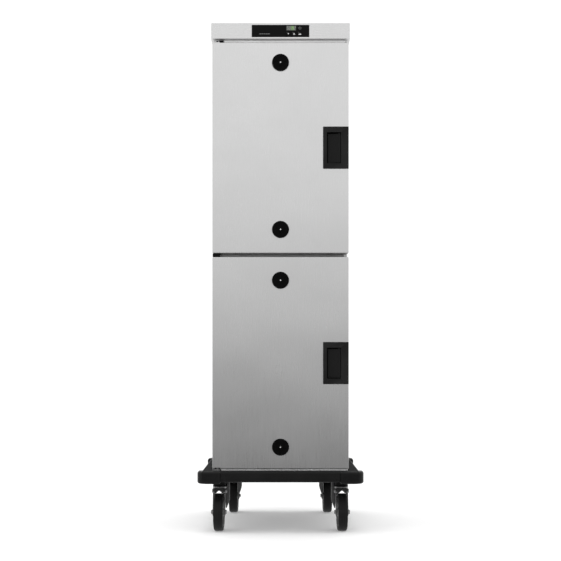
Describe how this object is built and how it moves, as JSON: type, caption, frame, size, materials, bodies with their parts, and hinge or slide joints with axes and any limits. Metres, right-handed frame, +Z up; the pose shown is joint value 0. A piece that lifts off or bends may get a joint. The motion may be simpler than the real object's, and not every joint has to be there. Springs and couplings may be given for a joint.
{
  "type": "proofing cabinet",
  "caption": "Tall insulated two-door proofing cabinet on swivel casters, with recessed paddle handles, round adjustable door vents, tray slides inside and a control panel in its top.",
  "frame": {"origin": "on the floor, under the middle of the base", "axes": "+Z up, the doors face -Y, +X is on the right of someone facing the doors"},
  "size_m": [0.548, 0.745, 1.682],
  "materials": {
    "stainless": "satin",
    "liner_stainless": "satin",
    "heater_housing": "satin",
    "door_core": "satin",
    "foam": "matte",
    "chassis_steel": "satin",
    "zinc": "satin",
    "hinge_steel": "satin",
    "bumper_plastic": "satin",
    "black_plastic": "satin",
    "vent_plastic": "satin",
    "key_plastic": "satin",
    "hub_plastic": "satin",
    "tyre": "matte",
    "gasket": "matte",
    "control_panel": "gloss",
    "display": "gloss"
  },
  "bodies": {
    "cabinet": {"base_frame": "chassis_steel", "base_bumper": "bumper_plastic", "bumper_corner_front_left": "bumper_plastic", "bumper_corner_front_right": "bumper_plastic", "bumper_corner_rear_left": "bumper_plastic", "bumper_corner_rear_right": "bumper_plastic", "outer_casing": "stainless", "insulation": "foam", "inner_liner": "liner_stainless", "mid_rail": "liner_stainless", "rack_left": "liner_stainless", "rack_right": "liner_stainless", "heater_unit": "heater_housing", "air_baffle": "liner_stainless", "power_inlet": "black_plastic", "top_cap": "stainless", "control_box": "black_plastic", "control_fascia": "control_panel", "display_window": "display", "hinge_bracket_top": "hinge_steel", "hinge_bracket_middle": "hinge_steel", "hinge_bracket_bottom": "hinge_steel", "caster_boss_front_left": "black_plastic", "caster_boss_front_right": "black_plastic", "caster_boss_rear_left": "black_plastic", "caster_boss_rear_right": "black_plastic"},
    "upper_door": {"upper_door_shell": "stainless", "upper_door_liner": "door_core", "upper_door_gasket": "gasket", "upper_handle_bezel": "black_plastic"},
    "upper_paddle": {"upper_handle_paddle": "black_plastic"},
    "upper_vent_dial_top": {"upper_vent_dial_top": "vent_plastic"},
    "upper_vent_dial_bottom": {"upper_vent_dial_bottom": "vent_plastic"},
    "lower_door": {"lower_door_shell": "stainless", "lower_door_liner": "door_core", "lower_door_gasket": "gasket", "lower_handle_bezel": "black_plastic"},
    "lower_paddle": {"lower_handle_paddle": "black_plastic"},
    "lower_vent_dial_top": {"lower_vent_dial_top": "vent_plastic"},
    "lower_vent_dial_bottom": {"lower_vent_dial_bottom": "vent_plastic"},
    "timer_key": {"timer_key": "key_plastic"},
    "fan_key": {"fan_key": "key_plastic"},
    "humidity_key": {"humidity_key": "key_plastic"},
    "power_key": {"power_key": "key_plastic"},
    "swivel_front_left": {"caster_fork_front_left": "zinc", "caster_axle_front_left": "zinc"},
    "wheel_front_left": {"caster_hub_front_left": "hub_plastic", "caster_tyre_front_left": "tyre"},
    "swivel_front_right": {"caster_fork_front_right": "zinc", "caster_axle_front_right": "zinc"},
    "wheel_front_right": {"caster_hub_front_right": "hub_plastic", "caster_tyre_front_right": "tyre"},
    "swivel_rear_left": {"caster_fork_rear_left": "zinc", "caster_axle_rear_left": "zinc"},
    "wheel_rear_left": {"caster_hub_rear_left": "hub_plastic", "caster_tyre_rear_left": "tyre"},
    "swivel_rear_right": {"caster_fork_rear_right": "zinc", "caster_axle_rear_right": "zinc"},
    "wheel_rear_right": {"caster_hub_rear_right": "hub_plastic", "caster_tyre_rear_right": "tyre"}
  },
  "joints": [
    {"name": "upper_door_hinge", "type": "hinge", "parent": "cabinet", "child": "upper_door", "pos_m": [-0.209, -0.3085, 1.2695], "axis": [0, 0, -1], "range_deg": [0, 180]},
    {"name": "upper_paddle_pivot", "type": "hinge", "parent": "upper_door", "child": "upper_paddle", "pos_m": [0.194, -0.322, 1.2695], "axis": [0, 0, -1], "range_deg": [0, 12], "stiffness_Nm_per_rad": 0.6},
    {"name": "upper_vent_top_turn", "type": "hinge", "parent": "upper_door", "child": "upper_vent_dial_top", "pos_m": [0, -0.3325, 1.5504], "axis": [0, -1, 0], "range_deg": [0, 45]},
    {"name": "upper_vent_bottom_turn", "type": "hinge", "parent": "upper_door", "child": "upper_vent_dial_bottom", "pos_m": [0, -0.3325, 0.9995], "axis": [0, -1, 0], "range_deg": [0, 45]},
    {"name": "lower_door_hinge", "type": "hinge", "parent": "cabinet", "child": "lower_door", "pos_m": [-0.209, -0.3085, 0.5585], "axis": [0, 0, -1], "range_deg": [0, 180]},
    {"name": "lower_paddle_pivot", "type": "hinge", "parent": "lower_door", "child": "lower_paddle", "pos_m": [0.194, -0.322, 0.5585], "axis": [0, 0, -1], "range_deg": [0, 12], "stiffness_Nm_per_rad": 0.6},
    {"name": "lower_vent_top_turn", "type": "hinge", "parent": "lower_door", "child": "lower_vent_dial_top", "pos_m": [0, -0.3325, 0.8319], "axis": [0, -1, 0], "range_deg": [0, 45]},
    {"name": "lower_vent_bottom_turn", "type": "hinge", "parent": "lower_door", "child": "lower_vent_dial_bottom", "pos_m": [0, -0.3325, 0.2813], "axis": [0, -1, 0], "range_deg": [0, 45]},
    {"name": "timer_key_press", "type": "slide", "parent": "cabinet", "child": "timer_key", "axis": [0, 1, 0], "range_m": [0, 0.001], "stiffness_N_per_m": 2000},
    {"name": "fan_key_press", "type": "slide", "parent": "cabinet", "child": "fan_key", "axis": [0, 1, 0], "range_m": [0, 0.001], "stiffness_N_per_m": 2000},
    {"name": "humidity_key_press", "type": "slide", "parent": "cabinet", "child": "humidity_key", "axis": [0, 1, 0], "range_m": [0, 0.001], "stiffness_N_per_m": 2000},
    {"name": "power_key_press", "type": "slide", "parent": "cabinet", "child": "power_key", "axis": [0, 1, 0], "range_m": [0, 0.001], "stiffness_N_per_m": 2000},
    {"name": "caster_front_left_swivel", "type": "hinge", "parent": "cabinet", "child": "swivel_front_left", "pos_m": [-0.204, -0.248, 0.145], "axis": [0, 0, 1], "continuous": true},
    {"name": "caster_front_left_roll", "type": "hinge", "parent": "swivel_front_left", "child": "wheel_front_left", "pos_m": [-0.205, -0.28599, 0.0625], "axis": [0.9997, -0.0262, 0], "continuous": true},
    {"name": "caster_front_right_swivel", "type": "hinge", "parent": "cabinet", "child": "swivel_front_right", "pos_m": [0.204, -0.248, 0.145], "axis": [0, 0, 1], "continuous": true},
    {"name": "caster_front_right_roll", "type": "hinge", "parent": "swivel_front_right", "child": "wheel_front_right", "pos_m": [0.205, -0.28599, 0.0625], "axis": [0.9997, 0.0262, 0], "continuous": true},
    {"name": "caster_rear_left_swivel", "type": "hinge", "parent": "cabinet", "child": "swivel_rear_left", "pos_m": [-0.177, 0.271, 0.145], "axis": [0, 0, 1], "continuous": true},
    {"name": "caster_rear_left_roll", "type": "hinge", "parent": "swivel_rear_left", "child": "wheel_rear_left", "pos_m": [-0.17614, 0.30899, 0.0625], "axis": [-0.9997, 0.0227, 0], "continuous": true},
    {"name": "caster_rear_right_swivel", "type": "hinge", "parent": "cabinet", "child": "swivel_rear_right", "pos_m": [0.177, 0.271, 0.145], "axis": [0, 0, 1], "continuous": true},
    {"name": "caster_rear_right_roll", "type": "hinge", "parent": "swivel_rear_right", "child": "wheel_rear_right", "pos_m": [0.17614, 0.30899, 0.0625], "axis": [-0.9997, -0.0227, 0], "continuous": true}
  ]
}
